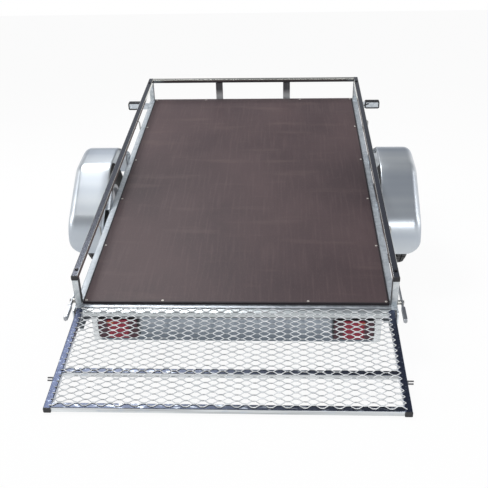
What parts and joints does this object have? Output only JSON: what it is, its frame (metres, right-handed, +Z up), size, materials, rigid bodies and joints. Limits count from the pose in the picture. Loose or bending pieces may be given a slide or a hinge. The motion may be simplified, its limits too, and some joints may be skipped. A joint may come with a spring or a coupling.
{
  "type": "tipping trailer",
  "caption": "Small flat tipping trailer tipped back: plywood deck in a galvanised frame with low tube rails, expanded-metal ramp, silver fenders, hinged drawbar with ball coupling.",
  "frame": {"origin": "on the ground under the middle of the whole trailer's box, on its centre line", "axes": "+X to the trailer's right, +Y forwards along the drawbar, +Z up; the bed is tipped back about 14 degrees"},
  "size_m": [1.59, 3.7134, 0.803],
  "materials": {
    "film_plywood": "dark brown phenolic film with a fine wire-mesh print, satin",
    "galvanised_steel": "hot-dip galvanised sheet, semi-matt, faint spangle",
    "zinc_tube": "bright zinc-coated tube, glossy",
    "galvanised_mesh": "galvanised expanded metal",
    "bright_steel": "zinc-plated, slightly yellowish",
    "dark_steel": "dark zinc-plated pins",
    "fender_silver": "smooth satin metallic silver",
    "tyre_rubber": "black rubber with ribbed tread",
    "rim_silver": "silver paint on pressed steel",
    "black_plastic": "moulded black plastic and rubber",
    "red_lens": "clear red moulded lens",
    "clear_lens": "clear white moulded lens",
    "zinc_casting": "zinc-plated pressed steel",
    "handle_plastic": "black moulded grip"
  },
  "bodies": {
    "bed": {"deck": "film_plywood", "side_beam_left": "galvanised_steel", "side_beam_right": "galvanised_steel", "front_beam": "galvanised_steel", "rear_beam": "galvanised_steel", "cross_members": "galvanised_steel", "corner_posts": "galvanised_steel", "side_rail_left": "zinc_tube", "side_rail_right": "zinc_tube", "front_rail": "zinc_tube", "front_uprights": "galvanised_steel", "rail_plugs": "black_plastic", "rope_hooks": "bright_steel", "lamp_panel": "galvanised_steel", "tail_lamp_left": "black_plastic", "tail_lamp_right": "black_plastic", "tail_lens_left": "red_lens", "tail_lens_right": "red_lens", "marker_brackets": "galvanised_steel", "marker_lamps": "black_plastic", "marker_lenses": "clear_lens", "axle_beam": "galvanised_steel", "swing_arms": "galvanised_steel", "fender_left": "fender_silver", "fender_right": "fender_silver", "fender_stays": "galvanised_steel", "drawbar_bracket": "galvanised_steel", "lock_bracket": "galvanised_steel", "latch_bolts": "bright_steel", "ramp_ears": "galvanised_steel"},
    "wheel_left": {"tyre_left": "tyre_rubber", "rim_left": "rim_silver", "hub_left": "galvanised_steel"},
    "wheel_right": {"tyre_right": "tyre_rubber", "rim_right": "rim_silver", "hub_right": "galvanised_steel"},
    "drawbar": {"drawbar": "galvanised_steel", "coupling": "zinc_casting", "coupling_handle": "handle_plastic"},
    "ramp": {"ramp_side_tube_left": "zinc_tube", "ramp_side_tube_right": "zinc_tube", "ramp_cross_tubes": "zinc_tube", "ramp_mesh_upper": "galvanised_mesh", "ramp_mesh_lower": "galvanised_mesh", "ramp_plugs": "black_plastic", "ramp_pins": "dark_steel"},
    "latch_left": {"latch_left": "bright_steel"},
    "latch_right": {"latch_right": "bright_steel"}
  },
  "joints": [
    {"name": "bed_tip", "type": "hinge", "parent": "bed", "child": "drawbar", "pos_m": [0, -0.10489, 0.33813], "axis": [1, 0, 0], "range_deg": [0, 23.2]},
    {"name": "ramp_hinge", "type": "hinge", "parent": "bed", "child": "ramp", "pos_m": [0, -1.36611, 0.15152], "axis": [1, 0, 0], "range_deg": [-92, 52]},
    {"name": "wheel_spin_left", "type": "hinge", "parent": "bed", "child": "wheel_left", "pos_m": [-0.706, -0.30733, 0.25], "axis": [1, 0, 0], "continuous": true},
    {"name": "wheel_spin_right", "type": "hinge", "parent": "bed", "child": "wheel_right", "pos_m": [0.706, -0.30733, 0.25], "axis": [1, 0, 0], "continuous": true},
    {"name": "latch_turn_left", "type": "hinge", "parent": "bed", "child": "latch_left", "pos_m": [-0.63, -1.28738, 0.16658], "axis": [1, 0, 0], "range_deg": [-95, 30]},
    {"name": "latch_turn_right", "type": "hinge", "parent": "bed", "child": "latch_right", "pos_m": [0.63, -1.28738, 0.16658], "axis": [1, 0, 0], "range_deg": [-95, 30]}
  ]
}
